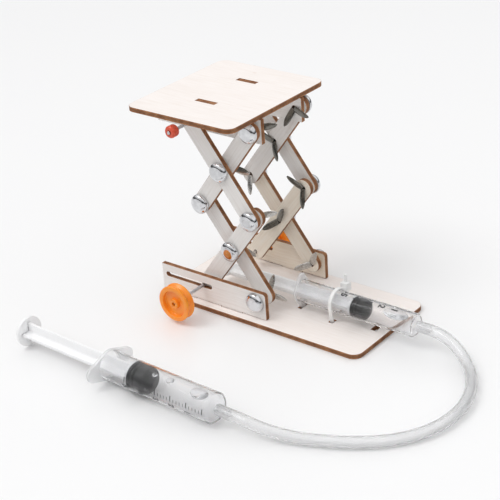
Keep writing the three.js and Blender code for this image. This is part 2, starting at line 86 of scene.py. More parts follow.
# ---------------------------------------------------------------- meshes
def add_mesh(name, vertices, faces, materials, smooth=32):
    mesh = bpy.data.meshes.new(name)
    mesh.from_pydata([tuple(v) for v in vertices], [], faces)
    mesh.validate()
    obj = bpy.data.objects.new(name, mesh)
    bpy.context.scene.collection.objects.link(obj)
    for mat in materials:
        mesh.materials.append(mat)
    shade(obj, smooth)
    return obj


def shade(obj, angle):
    """Smooth faces, with edges sharper than the angle kept sharp, and outward normals."""
    bm = bmesh.new()
    bm.from_mesh(obj.data)
    bmesh.ops.recalc_face_normals(bm, faces=bm.faces)
    limit = math.radians(angle)
    for face in bm.faces:
        face.smooth = True
    for edge in bm.edges:
        edge.smooth = edge.calc_face_angle(0) < limit
    bm.to_mesh(obj.data)
    bm.free()


def moved(obj, matrix):
    obj.data.transform(matrix)
    return obj


def add_bmesh(name, bm, materials):
    mesh = bpy.data.meshes.new(name)
    bm.to_mesh(mesh)
    bm.free()
    for mat in materials:
        mesh.materials.append(mat)
    obj = bpy.data.objects.new(name, mesh)
    bpy.context.scene.collection.objects.link(obj)
    return obj


def cad_copy(node):
    """A CAD node's mesh with its shared corners welded and its flat faces whole."""
    bm = bmesh.new()
    bm.from_mesh(NODES[node].data)
    bmesh.ops.remove_doubles(bm, verts=bm.verts, dist=2e-6)
    bmesh.ops.dissolve_limit(bm, angle_limit=math.radians(0.8), verts=bm.verts, edges=bm.edges)
    bm.normal_update()
    return bm


def rim_edges(bm, is_flat):
    """The edges between a flat face and one that isn't."""
    pairs = [(edge, tuple(edge.link_faces)) for edge in bm.edges if len(edge.link_faces) == 2]
    return [edge for edge, (a, b) in pairs if is_flat(a) != is_flat(b)]


def round_edges(bm, edges, size, segments, profile=0.5):
    bmesh.ops.bevel(bm, geom=edges, offset=size, segments=segments, profile=profile,
                    affect="EDGES", clamp_overlap=True)


def join_meshes(name, pieces):
    """One mesh from several of the same material."""
    bm = bmesh.new()
    materials = list(pieces[0].data.materials)
    for piece in pieces:
        bm.from_mesh(piece.data)
        bpy.data.objects.remove(piece)
    return add_bmesh(name, bm, materials)


def rounded(profile, radius, steps=4):
    """A profile of (along, out) points with every corner but its two ends rounded by a small curve."""
    points = [Vector(p) for p in profile]
    result = []
    for index, point in enumerate(points):
        if index in (0, len(points) - 1):
            result.append(point)
            continue
        before = points[index - 1] - point
        after = points[index + 1] - point
        size = min(radius, before.length * 0.45, after.length * 0.45)
        if size < 1e-7 or before.angle(after) > math.radians(172):
            result.append(point)
            continue
        start = point + before.normalized() * size
        end = point + after.normalized() * size
        for step in range(steps + 1):
            t = step / steps
            result.append(start * (1 - t) ** 2 + point * 2 * t * (1 - t) + end * t ** 2)
    return result


def lathe(name, profile, axis, centre, material, segments=64, closed=False, smooth=32):
    """Profile points (along, out) in metres turned about an axis letter through centre."""
    vertices, rings = [], []
    for along, out in profile:
        if out < 1e-7:
            rings.append([len(vertices)])
            vertices.append((along, 0, 0))
            continue
        first = len(vertices)
        for s in range(segments):
            angle = 2 * math.pi * s / segments
            vertices.append((along, out * math.cos(angle), out * math.sin(angle)))
        rings.append(list(range(first, first + segments)))
    pairs = list(zip(rings, rings[1:]))
    if closed:
        pairs.append((rings[-1], rings[0]))
    faces = []
    for a, b in pairs:
        if len(a) == 1 and len(b) == 1:
            continue
        for s in range(segments):
            t = (s + 1) % segments
            if len(a) == 1:
                faces.append((a[0], b[s], b[t]))
            elif len(b) == 1:
                faces.append((a[s], b[0], a[t]))
            else:
                faces.append((a[s], b[s], b[t], a[t]))
    obj = add_mesh(name, vertices, faces, [material], smooth)
    turn = Matrix.Identity(4) if axis == "x" else Matrix.Rotation(math.pi / 2, 4, "Z")
    return moved(obj, Matrix.Translation(centre) @ turn)


def extrude(name, outline, hole, low, high, material, bevel, smooth=40):
    """A flat outline in (y, z) with a hole, made solid from x = low to high, its rims rounded."""
    bm = bmesh.new()
    edges = []
    for loop in (outline, hole):
        ring = [bm.verts.new((low, y, z)) for y, z in loop]
        edges += [bm.edges.new((ring[i], ring[(i + 1) % len(ring)])) for i in range(len(ring))]
    bmesh.ops.triangle_fill(bm, use_beauty=True, use_dissolve=False, edges=edges)
    made = bmesh.ops.extrude_face_region(bm, geom=bm.faces[:])
    top = [v for v in made["geom"] if isinstance(v, bmesh.types.BMVert)]
    bmesh.ops.translate(bm, vec=(high - low, 0, 0), verts=top)
    bmesh.ops.dissolve_limit(bm, angle_limit=math.radians(1), verts=bm.verts, edges=bm.edges)
    bm.normal_update()
    round_edges(bm, rim_edges(bm, lambda face: abs(face.normal.x) > 0.9), bevel, 3)
    obj = add_bmesh(name, bm, [material])
    shade(obj, smooth)
    return obj


def sweep(name, centres, frames, section, material, smooth):
    """A capped solid through section(index), a ring of (side, up) points for each of the centres."""
    vertices, faces = [], []
    count = len(section(0))
    for index, (centre, (side, up)) in enumerate(zip(centres, frames)):
        vertices += [centre + side * a + up * b for a, b in section(index)]
    for ring in range(len(centres) - 1):
        for s in range(count):
            t = (s + 1) % count
            a = ring * count
            b = a + count
            faces.append((a + s, a + t, b + t, b + s))
    faces.append(tuple(range(count)))
    last = (len(centres) - 1) * count
    faces.append(tuple(range(last, last + count)))
    return add_mesh(name, vertices, faces, [material], smooth)


def stands_for(obj, node):
    """obj replaces this CAD node, which it hides, and rides on its body."""
    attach(obj, BODY_OF[node])
    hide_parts(node)


def goes_with(obj, node):
    """obj is one more piece on this node's body."""
    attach(obj, BODY_OF[node])


# ---------------------------------------------------------------- materials
def new_material(name):
    mat = bpy.data.materials.new(name)
    mat.use_nodes = True
    tree = mat.node_tree
    return mat, tree, tree.nodes["Principled BSDF"]


def add(tree, kind, values=None, **settings):
    made = tree.nodes.new(kind)
    for key, value in settings.items():
        setattr(made, key, value)
    for key, value in (values or {}).items():
        if isinstance(value, bpy.types.NodeSocket):
            tree.links.new(value, made.inputs[key])
        else:
            made.inputs[key].default_value = value
    return made


def ramp(tree, factor, stops):
    made = tree.nodes.new("ShaderNodeValToRGB")
    elements = made.color_ramp.elements
    while len(elements) > 1:
        elements.remove(elements[-1])
    elements[0].position, elements[0].color = stops[0][0], (*stops[0][1], 1)
    for at, colour in stops[1:]:
        elements.new(at).color = (*colour, 1)
    tree.links.new(factor, made.inputs[0])
    return made.outputs[0]


def mix(tree, factor, a, b, blend="MIX"):
    made = tree.nodes.new("ShaderNodeMix")
    made.data_type = "RGBA"
    made.blend_type = blend
    for socket, value in ((made.inputs[0], factor), (made.inputs[6], a), (made.inputs[7], b)):
        if isinstance(value, bpy.types.NodeSocket):
            tree.links.new(value, socket)
        else:
            socket.default_value = value if isinstance(value, float) else (*value, 1)
    return made.outputs[2]


def scaled(tree, vector, scale):
    return add(tree, "ShaderNodeMapping", {"Vector": vector, "Scale": scale}).outputs[0]


def noise(tree, vector, scale, detail=3, roughness=0.55):
    values = {"Vector": vector, "Scale": scale, "Detail": detail, "Roughness": roughness}
    return add(tree, "ShaderNodeTexNoise", values).outputs["Fac"]


def bump(tree, bsdf, height, strength, distance):
    made = add(tree, "ShaderNodeBump", {"Height": height, "Strength": strength, "Distance": distance})
    tree.links.new(made.outputs[0], bsdf.inputs["Normal"])


def fit_range(tree, value, low, high):
    return add(tree, "ShaderNodeMapRange", {"Value": value, "To Min": low, "To Max": high}).outputs[0]


def object_mm(tree):
    """The object's own coordinates, in millimetres."""
    place = tree.nodes.new("ShaderNodeTexCoord").outputs["Object"]
    return scaled(tree, place, (1000, 1000, 1000))


def ply_face_material(name, dark, middle, light):
    """Bare veneer: grain, warm patches, pores and a few knots, with a toasted border along the cuts."""
    mat, tree, bsdf = new_material(name)
    at = add(tree, "ShaderNodeAttribute", attribute_name="ply_at").outputs["Vector"]
    grain = noise(tree, scaled(tree, at, (0.05, 0.9, 1)), 1, 5, 0.6)
    colour = ramp(tree, grain, [(0.3, dark), (0.5, middle), (0.72, light)])
    patches = noise(tree, scaled(tree, at, (0.02, 0.05, 1)), 1, 2)
    warm = ramp(tree, patches, [(0.5, (0, 0, 0)), (0.8, (0.6, 0.6, 0.6))])
    colour = mix(tree, warm, colour, dark)
    pores = noise(tree, scaled(tree, at, (0.35, 5.5, 1)), 1, 2)
    marks = ramp(tree, pores, [(0.66, (0, 0, 0)), (0.74, (0.2, 0.2, 0.2))])
    colour = mix(tree, marks, colour, (0.66, 0.52, 0.4))
    flecks = noise(tree, scaled(tree, at, (0.1, 0.22, 1)), 1, 1)
    knots = ramp(tree, flecks, [(0.76, (0, 0, 0)), (0.82, (0.4, 0.4, 0.4))])
    colour = mix(tree, knots, colour, (0.62, 0.42, 0.27))
    burn = add(tree, "ShaderNodeAttribute", attribute_name="scorch").outputs["Fac"]
    ragged = noise(tree, scaled(tree, at, (0.6, 0.6, 1)), 1, 3)
    depth = add(tree, "ShaderNodeMath", {0: burn, 1: ragged}, operation="MULTIPLY").outputs[0]
    toasted = ramp(tree, depth, [(0.18, (0, 0, 0)), (0.42, (0.55, 0.55, 0.55)), (0.6, (0.9, 0.9, 0.9))])
    colour = mix(tree, toasted, colour, (0.4, 0.2, 0.085))
    tree.links.new(colour, bsdf.inputs["Base Color"])
    tree.links.new(fit_range(tree, grain, 0.5, 0.72), bsdf.inputs["Roughness"])
    fine = noise(tree, scaled(tree, at, (0.3, 4, 1)), 1, 4)
    bump(tree, bsdf, fine, 0.25, 0.0001)
    bsdf.inputs["Specular IOR Level"].default_value = 0.35
    return mat


def ply_edge_material():
    """A laser-cut edge: charred brown, with the glue lines between its three layers."""
    mat, tree, bsdf = new_material("ply_edge")
    at = add(tree, "ShaderNodeAttribute", attribute_name="ply_at").outputs["Vector"]
    char = noise(tree, scaled(tree, at, (0.22, 0.22, 0.4)), 1, 4, 0.6)
    colour = ramp(tree, char, [(0.25, (0.15, 0.055, 0.019)), (0.5, (0.26, 0.108, 0.04)),
                               (0.75, (0.4, 0.19, 0.08))])
    depth = add(tree, "ShaderNodeSeparateXYZ", {0: at}).outputs[2]
    away = add(tree, "ShaderNodeMath", {0: depth}, operation="ABSOLUTE").outputs[0]
    layers = ramp(tree, away, [(0.24, (0.9, 0.9, 0.9)), (0.3, (0.45, 0.45, 0.45)), (0.4, (0.5, 0.5, 0.5)),
                               (0.46, (1.25, 1.2, 1.15)), (0.9, (1.3, 1.25, 1.2)), (0.98, (0.8, 0.8, 0.8))])
    colour = mix(tree, 1.0, colour, layers, "MULTIPLY")
    tree.links.new(colour, bsdf.inputs["Base Color"])
    tree.links.new(fit_range(tree, char, 0.85, 0.6), bsdf.inputs["Roughness"])
    lines = noise(tree, scaled(tree, at, (2.5, 2.5, 0.15)), 1, 3)
    bump(tree, bsdf, lines, 0.5, 0.00015)
    return mat


def metal_material(name, tint, shine, streaks):
    """Polished metal, cloudy in colour and finely streaked in gloss."""
    mat, tree, bsdf = new_material(name)
    at = object_mm(tree)
    brushed = noise(tree, scaled(tree, at, streaks), 1, 4)
    cloud = noise(tree, at, 0.35, 2)
    dark = tuple(0.82 * c for c in tint)
    tree.links.new(ramp(tree, cloud, [(0.35, dark), (0.6, tint)]), bsdf.inputs["Base Color"])
    tree.links.new(fit_range(tree, brushed, shine, shine + 0.14), bsdf.inputs["Roughness"])
    bsdf.inputs["Metallic"].default_value = 1
    bump(tree, bsdf, brushed, 0.12, 0.00004)
    return mat


def plastic_material(name, light, dark, shine=0.28, glow=0.0):
    """Opaque moulded plastic: a slight flow pattern in colour and gloss, and a fine moulded bump."""
    mat, tree, bsdf = new_material(name)
    at = object_mm(tree)
    flow = noise(tree, at, 0.16, 3)
    tree.links.new(ramp(tree, flow, [(0.3, dark), (0.65, light)]), bsdf.inputs["Base Color"])
    fine = noise(tree, at, 2.2, 3)
    tree.links.new(fit_range(tree, fine, shine, shine + 0.12), bsdf.inputs["Roughness"])
    bump(tree, bsdf, fine, 0.08, 0.00006)
    bsdf.inputs["Coat Weight"].default_value = 0.25
    bsdf.inputs["Coat Roughness"].default_value = 0.12
    if glow:
        bsdf.inputs["Subsurface Weight"].default_value = glow
        bsdf.inputs["Subsurface Radius"].default_value = (1, 1, 1)
        bsdf.inputs["Subsurface Scale"].default_value = 0.003
    return mat


def clear_material(name, colour, dark, shine, clear, ior, alpha=1.0, coat=0.0):
    """Clear moulded plastic with a slight flow pattern; clear is the share of light that passes."""
    mat, tree, bsdf = new_material(name)
    at = object_mm(tree)
    flow = noise(tree, at, 0.12, 3)
    tree.links.new(ramp(tree, flow, [(0.3, dark), (0.65, colour)]), bsdf.inputs["Base Color"])
    fine = noise(tree, at, 0.8, 2)
    tree.links.new(fit_range(tree, fine, shine, shine + 0.06), bsdf.inputs["Roughness"])
    bump(tree, bsdf, fine, 0.008, 0.00002)
    bsdf.inputs["Transmission Weight"].default_value = clear
    bsdf.inputs["IOR"].default_value = ior
    bsdf.inputs["Alpha"].default_value = alpha
    bsdf.inputs["Coat Weight"].default_value = coat
    bsdf.inputs["Coat Roughness"].default_value = 0.03
    return mat


def rubber_material():
    mat, tree, bsdf = new_material("rubber")
    at = object_mm(tree)
    cloud = noise(tree, at, 0.5, 3)
    black = ramp(tree, cloud, [(0.3, (0.002, 0.002, 0.0025)), (0.7, (0.006, 0.006, 0.0065))])
    tree.links.new(black, bsdf.inputs["Base Color"])
    fine = noise(tree, at, 6, 2)
    tree.links.new(fit_range(tree, fine, 0.28, 0.45), bsdf.inputs["Roughness"])
    bump(tree, bsdf, fine, 0.15, 0.00005)
    bsdf.inputs["Specular IOR Level"].default_value = 0.3
    return mat


def ink_material():
    mat, tree, bsdf = new_material("ink")
    at = object_mm(tree)
    patchy = noise(tree, at, 2.5, 3)
    black = ramp(tree, patchy, [(0.3, (0.012, 0.012, 0.014)), (0.75, (0.05, 0.05, 0.055))])
    tree.links.new(black, bsdf.inputs["Base Color"])
    tree.links.new(fit_range(tree, patchy, 0.35, 0.55), bsdf.inputs["Roughness"])
    return mat


def floor_material():
    mat, tree, bsdf = new_material("floor")
    at = tree.nodes.new("ShaderNodeTexCoord").outputs["Object"]
    soft = noise(tree, at, 3, 2)
    white = ramp(tree, soft, [(0.3, (0.9, 0.9, 0.9)), (0.7, (0.905, 0.905, 0.905))])
    tree.links.new(white, bsdf.inputs["Base Color"])
    bsdf.inputs["Roughness"].default_value = 0.35
    bsdf.inputs["Specular IOR Level"].default_value = 0.3
    return mat


# One wood in three copies: level keeps its own colour; upright is a darker, greyer copy with painted shade; shaded
# is a warmer, brighter copy with painted light that fills the shadow under the platform.
PLY_FACES = {
    "level": ply_face_material("ply_level", (0.88, 0.81, 0.76), (0.92, 0.862, 0.825), (0.945, 0.895, 0.865)),
    "upright": ply_face_material("ply_upright_painted_shade", (0.8, 0.765, 0.73), (0.86, 0.835, 0.81), (0.9, 0.88, 0.86)),
    "shaded": ply_face_material("ply_shaded_painted_light", (0.88, 0.77, 0.64), (0.94, 0.85, 0.73), (0.965, 0.9, 0.8)),
}
PLY_EDGE = ply_edge_material()
CHROME = metal_material("chrome", (0.72, 0.725, 0.74), 0.05, (0.4, 0.4, 0.4))
# Two copies of one leg metal: a dark one with painted shade and a pale one with painted light.
LEG_PAINTED_SHADE = metal_material("pin_legs_painted_shade", (0.2, 0.19, 0.17), 0.16, (0.3, 2, 2))
LEG_PAINTED_LIGHT = metal_material("pin_legs_painted_light", (0.62, 0.6, 0.57), 0.2, (0.3, 2, 2))
STEEL = metal_material("steel", (0.62, 0.62, 0.64), 0.22, (6, 0.2, 6))
ORANGE = plastic_material("orange", (1.0, 0.34, 0.02), (1.0, 0.27, 0.012), 0.3, 0.12)
RED = plastic_material("red_orange", (0.74, 0.085, 0.03), (0.6, 0.06, 0.02), 0.3)
PLUNGER = plastic_material("plunger_white", (0.985, 0.988, 0.995), (0.95, 0.955, 0.965), 0.3, 0.6)
TIE = plastic_material("tie_white", (0.94, 0.94, 0.93), (0.88, 0.88, 0.87), 0.35, 0.2)
BARREL = clear_material("barrel_clear", (0.99, 0.99, 0.995), (0.97, 0.975, 0.985),
                        shine=0.03, clear=0.975, ior=1.24, alpha=0.9)
FLANGE = clear_material("flange_milky", (0.985, 0.988, 0.995), (0.955, 0.96, 0.97),
                        shine=0.3, clear=0.4, ior=1.3, alpha=0.6)
HOSE = clear_material("hose_clear", (0.985, 0.988, 0.992), (0.965, 0.968, 0.975),
                      shine=0.06, clear=0.86, ior=1.28, alpha=0.72, coat=0.4)
BUBBLE = clear_material("bubble_air", (0.93, 0.94, 0.95), (0.86, 0.87, 0.88),
                        shine=0.02, clear=0.9, ior=1.33)
RUBBER = rubber_material()
INK = ink_material()

# ---------------------------------------------------------------- hose
HOSE_RADIUS = 3.25 * MM
HOSE_BORE = 2.5 * MM
HOSE_ROUTE = [
    (91.5, -4.4, 13.2), (97, -4.4, 13.2), (102.5, -4.4, 13), (108, -4.6, 12), (114, -5.4, 10),
    (120, -7.4, 7.4), (126, -11.2, 5), (131.6, -16.8, 3.7), (136.6, -24, 3.3), (141, -33, 3.3),
    (144.2, -43.5, 3.3), (145.2, -55.5, 3.3), (143.6, -67.5, 3.3), (139.4, -78.8, 3.3),
    (132.8, -88.6, 3.3), (124.2, -97, 3.3), (114, -104, 3.3), (102.5, -110, 3.3), (91, -115, 3.6),
    (80, -118.8, 4.8), (70, -121.4, 6.8), (61, -122.8, 8.5), (53.5, -123.3, 9.1), (46.2, -123.06, 9.2),
]


def smooth_route(points, per_span):
    """A centripetal Catmull-Rom line through the points."""
    points = [Vector(p) for p in points]
    points = [points[0] * 2 - points[1], *points, points[-1] * 2 - points[-2]]
    result = []
    for i in range(1, len(points) - 2):
        p = points[i - 1:i + 3]
        knots = [0.0]
        for a, b in zip(p, p[1:]):
            knots.append(knots[-1] + math.sqrt((b - a).length))
        for step in range(per_span):
            t = knots[1] + (knots[2] - knots[1]) * step / per_span
            line = list(p)
            for level in range(1, 4):
                for k in range(4 - level):
                    start, stop = knots[k], knots[k + level]
                    width = stop - start
                    line[k] = line[k] * ((stop - t) / width) + line[k + 1] * ((t - start) / width)
            result.append(line[0].copy())
    result.append(points[-2].copy())
    return result


def carried_frames(line, side):
    """(side, up) at each point of a line, carried along it without twist."""
    frames = []
    for i in range(len(line)):
        ahead = line[min(i + 1, len(line) - 1)]
        behind = line[max(i - 1, 0)]
        along = (ahead - behind).normalized()
        side = (side - along * side.dot(along)).normalized()
        frames.append((side, along.cross(side)))
    return frames


def circle_points(radius, count):
    angles = [2 * math.pi * s / count for s in range(count)]
    return [(radius * math.cos(a), radius * math.sin(a)) for a in angles]


def add_hose():
    """A tube with a wall: rings out along the outside, back along the bore, and closed on itself."""
    line = smooth_route([Vector(p) * MM for p in HOSE_ROUTE], 5)
    frames = carried_frames(line, Vector((0, 1, 0)))
    sides = 32
    lip = 0.25 * MM
    vertices, rings = [], []

    def ring(index, radius):
        side, up = frames[index]
        rings.append(len(vertices))
        vertices.extend(line[index] + side * a + up * b for a, b in circle_points(radius, sides))

    ring(0, HOSE_BORE)
    ring(0, HOSE_RADIUS - lip)
    for index in range(1, len(line) - 1):
        ring(index, HOSE_RADIUS)
    ring(len(line) - 1, HOSE_RADIUS - lip)
    for index in range(len(line) - 1, 0, -1):
        ring(index, HOSE_BORE)
    faces = []
    for a, b in zip(rings, rings[1:] + rings[:1]):
        for s in range(sides):
            t = (s + 1) % sides
            faces.append((a + s, a + t, b + t, b + s))
    obj = add_mesh("hose_tube", vertices, faces, [HOSE], 50)
    stands_for(obj, "hose")


# ---------------------------------------------------------------- plywood
SCORCH_WIDTH = 0.55 * MM
PLY_BEVEL = 0.14 * MM
# How far apart in mm two plies lie in the grain pattern, along it and across it.
GRAIN_STEP = (61, 37)
ARM_RISE = JOINT_AT["near_middle"] - JOINT_AT["lower_axle_spin"]
RISING = Vector((ARM_RISE.x, 0, ARM_RISE.z)).normalized()
FALLING = Vector((ARM_RISE.x, 0, -ARM_RISE.z)).normalized()
ALONG = Vector((1, 0, 0))


def add_ply(node, normal, grain, tone, seed):
    """A ply with rounded rims, a border for the scorch, and its place in mm for the grain."""
    bm = cad_copy(node)

    def is_flat(face):
        return abs(face.normal.dot(normal)) > 0.99

    round_edges(bm, rim_edges(bm, is_flat), PLY_BEVEL, 2)
    bm.normal_update()
    flats = [f for f in bm.faces if is_flat(f)]
    flat_set = set(flats)
    border = {v for f in flats for v in f.verts if any(g not in flat_set for g in v.link_faces)}
    bmesh.ops.inset_region(bm, faces=flats, thickness=SCORCH_WIDTH,
                           use_even_offset=True, use_boundary=True)
    bm.normal_update()
    for face in bm.faces:
        face.material_index = 0 if is_flat(face) else 1
    bmesh.ops.triangulate(bm, faces=[f for f in bm.faces if len(f.verts) > 4])
    scorch = bm.verts.layers.float.new("scorch")
    place = bm.verts.layers.float_vector.new("ply_at")
    mid = sum((v.co for v in bm.verts), Vector()) / len(bm.verts)
    depths = [v.co.dot(normal) for v in bm.verts]
    centre, half = (min(depths) + max(depths)) / 2, (max(depths) - min(depths)) / 2
    across = normal.cross(grain)
    for v in bm.verts:
        v[scorch] = 1.0 if v in border else 0.0
        at = v.co - mid
        along_grain = at.dot(grain) / MM + GRAIN_STEP[0] * seed
        across_grain = at.dot(across) / MM + GRAIN_STEP[1] * seed
        v[place] = Vector((along_grain, across_grain, (v.co.dot(normal) - centre) / half))
    obj = add_bmesh(f"ply_{node}", bm, [PLY_FACES[tone], PLY_EDGE])
    shade(obj, 38)
    stands_for(obj, node)


def add_plywood():
    up, side = Vector((0, 0, 1)), Vector((0, 1, 0))
    plates = [("base_plate", up, ALONG, "level"), ("platform", up, ALONG, "level")]
    # Upright plies take the copy with painted shade; the far rail and far lower arms take the copy with painted
    # light.
    for s, low in (("near", "upright"), ("far", "shaded")):
        plates += [(f"{s}_rail", side, ALONG, low), (f"{s}_bracket", side, ALONG, "upright"),
                   (f"{s}_arm_lower_slide", side, RISING, low), (f"{s}_arm_lower_fixed", side, FALLING, low),
                   (f"{s}_arm_upper_slide", side, FALLING, "upright"),
                   (f"{s}_arm_upper_fixed", side, RISING, "upright")]
    for seed, (node, normal, grain, tone) in enumerate(plates):
        add_ply(node, normal, grain, tone, seed)


# ---------------------------------------------------------------- split pins
HEAD = {"radius": 5.9 * MM, "height": 3.4 * MM}
SHANK_RADIUS = 1.4 * MM
SHANK_LENGTH = 4 * MM
LEG = {"length": 12.4 * MM, "width": 3.9 * MM, "thickness": 0.7 * MM, "bend": 1.1 * MM, "sag": 0.35 * MM}
# Each pin's outer ply, inner ply and two legs, as (degrees up from +X, degrees sprung back from the ply).
PINS = {
    "near": [
        ("rail", "arm_lower_fixed", (80, 20), (-20, 20)),
        ("arm_lower_slide", "arm_lower_fixed", (150, 20), (-35, 20)),
        ("arm_upper_slide", "arm_lower_slide", (17, 20), (200, 0)),
        ("arm_upper_fixed", "arm_lower_fixed", (60, 20), (-120, 20)),
        ("arm_upper_slide", "arm_upper_fixed", (-10, 20), (170, 0)),
        ("arm_upper_fixed", "bracket", (190, 20), (15, 20)),
    ],
    "far": [
        ("rail", "arm_lower_fixed", (205, 22), (60, 10)),
        ("arm_lower_fixed", "arm_lower_slide", (214, 22), (60, 10)),
        ("arm_upper_slide", "arm_lower_slide", (138, 18), (-80, 18)),
        ("arm_lower_fixed", "arm_upper_fixed", (160, 20), (-77, 20)),
        ("arm_upper_slide", "arm_upper_fixed", (-65, 18), (155, 0)),
        ("arm_upper_fixed", "bracket", (247, 22), (-12, 10)),
    ],
}
# The pins whose legs catch the light: their legs get a pale metal with painted light, and the others a dark metal
# with painted shade.
PAINTED_LIGHT_LEGS = ("far_pin_1", "far_pin_4", "near_pin_3", "near_pin_1", "near_pin_2")


def pin_spots():
    """The (x, z) of the six pins of a side, from the bottom up."""
    pivot, cross, middle = JOINT_AT["lift"], JOINT_AT["near_lower_cross"], JOINT_AT["near_middle"]
    upper, top, axle = JOINT_AT["near_upper_cross"], JOINT_AT["platform_pivot"], JOINT_AT["lower_axle_spin"]
    return [(pivot.x, pivot.z), (cross.x, cross.z), (middle.x, middle.z),
            (axle.x, middle.z), (upper.x, upper.z), (top.x, top.z)]


def pin_head(name, x, z, face_y, inward):
    """A shallow dome with a flat crown, a rolled rim and a shank, its underside at face_y."""
    r, h = HEAD["radius"], HEAD["height"]
    dome = [(-0.97 * h, 0), (-h, 0.45 * r), (-0.95 * h, 0.68 * r), (-0.7 * h, 0.93 * r), (-0.38 * h, r),
            (-0.06 * h, r), (0, 0.95 * r), (0, SHANK_RADIUS), (SHANK_LENGTH, SHANK_RADIUS)]
    profile = [(a * inward, b) for a, b in rounded(dome, 0.6 * MM, 5)]
    return lathe(name, profile, "y", Vector((x, face_y, z)), CHROME, 48, smooth=50)


def pin_leg(name, x, z, face_y, inward, depth, up, spring, metal):
    """A half-round strip that leaves the hole along the shank, bends over and runs to a rounded tip."""
    out = Vector((math.cos(math.radians(up)), 0, math.sin(math.radians(up))))
    inn = Vector((0, inward, 0))
    turn = math.radians(90 - spring)
    radius = LEG["bend"]
    t = LEG["thickness"]
    start = Vector((x, face_y, z)) + out * (t * 0.6)
    root = depth + t * 0.5 - 0.2 * MM
    corner = start + inn * (root - 0.4 * MM)
    line = [start + inn * (root - 2.5 * MM), start + inn * (root - 1.2 * MM), corner]
    bends = 5
    for step in range(1, bends + 1):
        a = turn * step / bends
        line.append(corner + inn * (radius * math.sin(a)) * 0.45 + out * (radius * (1 - math.cos(a))))
    direction = (out * math.cos(math.radians(spring)) + inn * math.sin(math.radians(spring))).normalized()
    last = line[-1]
    run = LEG["length"] - radius - t
    steps = 14
    for step in range(1, steps + 1):
        s = step / steps
        sag = LEG["sag"] * math.sin(math.pi * s)
        line.append(last + direction * (run * s) + inn * sag)
    flat = out.cross(inn)
    frames = []
    for i in range(len(line)):
        along = (line[min(i + 1, len(line) - 1)] - line[max(i - 1, 0)]).normalized()
        frames.append((flat, along.cross(flat)))
    count = len(line)

    def section(index):
        s = index / (count - 1)
        leaf = 0.62 + 0.38 * math.sin(math.pi * min(1.0, s / 1.15)) ** 0.8
        tip = max(0.0, (s - 0.62) / 0.38)
        width = LEG["width"] * leaf * math.sqrt(max(0.03, 1 - tip ** 2.4))
        h = width / 2
        k = t * 0.5
        return [(-h, 0), (-h * 0.9, -k * 0.6), (-h * 0.5, -k), (0, -k * 1.1), (h * 0.5, -k),
                (h * 0.9, -k * 0.6), (h, 0), (h * 0.9, k * 0.5), (0, k * 0.55), (-h * 0.9, k * 0.5)]

    return sweep(name, line, frames, section, metal, smooth=60)


def add_pins():
    spots = pin_spots()
    for side, pins in PINS.items():
        inward = 1 if side == "near" else -1
        for index, (outer, inner, *legs) in enumerate(pins):
            x, z = spots[index]
            node = f"{side}_pin_{index + 1}"
            outer_box, inner_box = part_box(f"{side}_{outer}"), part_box(f"{side}_{inner}")
            outside = outer_box[0].y if inward > 0 else outer_box[1].y
            inside = inner_box[1].y if inward > 0 else inner_box[0].y
            face_y = outside - inward * FIT
            depth = abs(inside - outside) + 2 * FIT
            head = pin_head(f"{node}_head", x, z, face_y, inward)
            stands_for(head, node)
            for number, (up, spring) in enumerate(legs):
                # Legs that catch the light get painted light; the rest get painted shade.
                metal = LEG_PAINTED_LIGHT if node in PAINTED_LIGHT_LEGS else LEG_PAINTED_SHADE
                leg = pin_leg(f"{node}_leg_{number + 1}", x, z, face_y, inward, depth, up, spring, metal)
                goes_with(leg, node)


# ---------------------------------------------------------------- axles, pulleys, collars
def add_axle(node):
    low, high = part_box(node)
    centre = (low + high) / 2
    half, radius = (high.y - low.y) / 2, (high.z - low.z) / 2
    chamfer = 0.25 * MM
    profile = [(-half, 0), (-half, radius - chamfer), (-half + chamfer, radius), (half - chamfer, radius),
               (half, radius - chamfer), (half, 0)]
    stands_for(lathe(f"{node}_rod", rounded(profile, 0.1 * MM, 3), "y", centre, STEEL, 32), node)


def add_pulley(node):
    """A grooved wheel with a hub, a thin web and a rim that stands out on both sides."""
    low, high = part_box(node)
    centre = (low + high) / 2
    half, r = (high.y - low.y) / 2, (high.z - low.z) / 2
    hub, web, rim = 2.9 * MM, 0.9 * MM, r - 2.9 * MM
    profile = [
        (-half, AXLE_HOLE), (-half, hub), (-web, hub + 0.3 * MM), (-web, rim - 0.3 * MM), (-half, rim),
        (-half, r - 0.9 * MM), (-half + 0.25 * MM, r), (-half + 1.2 * MM, r),
        (-0.4 * MM, r - 1.5 * MM), (0.4 * MM, r - 1.5 * MM),
        (half - 1.2 * MM, r), (half - 0.25 * MM, r), (half, r - 0.9 * MM),
        (half, rim), (web, rim - 0.3 * MM), (web, hub + 0.3 * MM), (half, hub),
        (half, AXLE_HOLE), (-half, AXLE_HOLE),
    ]
    turned = rounded(profile, 0.45 * MM, 4)[:-1]
    wheel = lathe(f"{node}_wheel", turned, "y", centre, ORANGE, 96, closed=True, smooth=45)
    stands_for(wheel, node)


def add_collar(node):
    low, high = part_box(node)
    centre = (low + high) / 2
    half, r = (high.y - low.y) / 2, (high.z - low.z) / 2
    profile = [(-half, AXLE_HOLE), (-half, r * 0.8), (-half + 0.8 * MM, r), (-0.4 * MM, r), (0, r * 0.9),
               (0.4 * MM, r), (half - 0.8 * MM, r), (half, r * 0.8), (half, AXLE_HOLE), (-half, AXLE_HOLE)]
    turned = rounded(profile, 0.4 * MM, 4)[:-1]
    bush = lathe(f"{node}_bush", turned, "y", centre, RED, 48, closed=True, smooth=45)
    stands_for(bush, node)


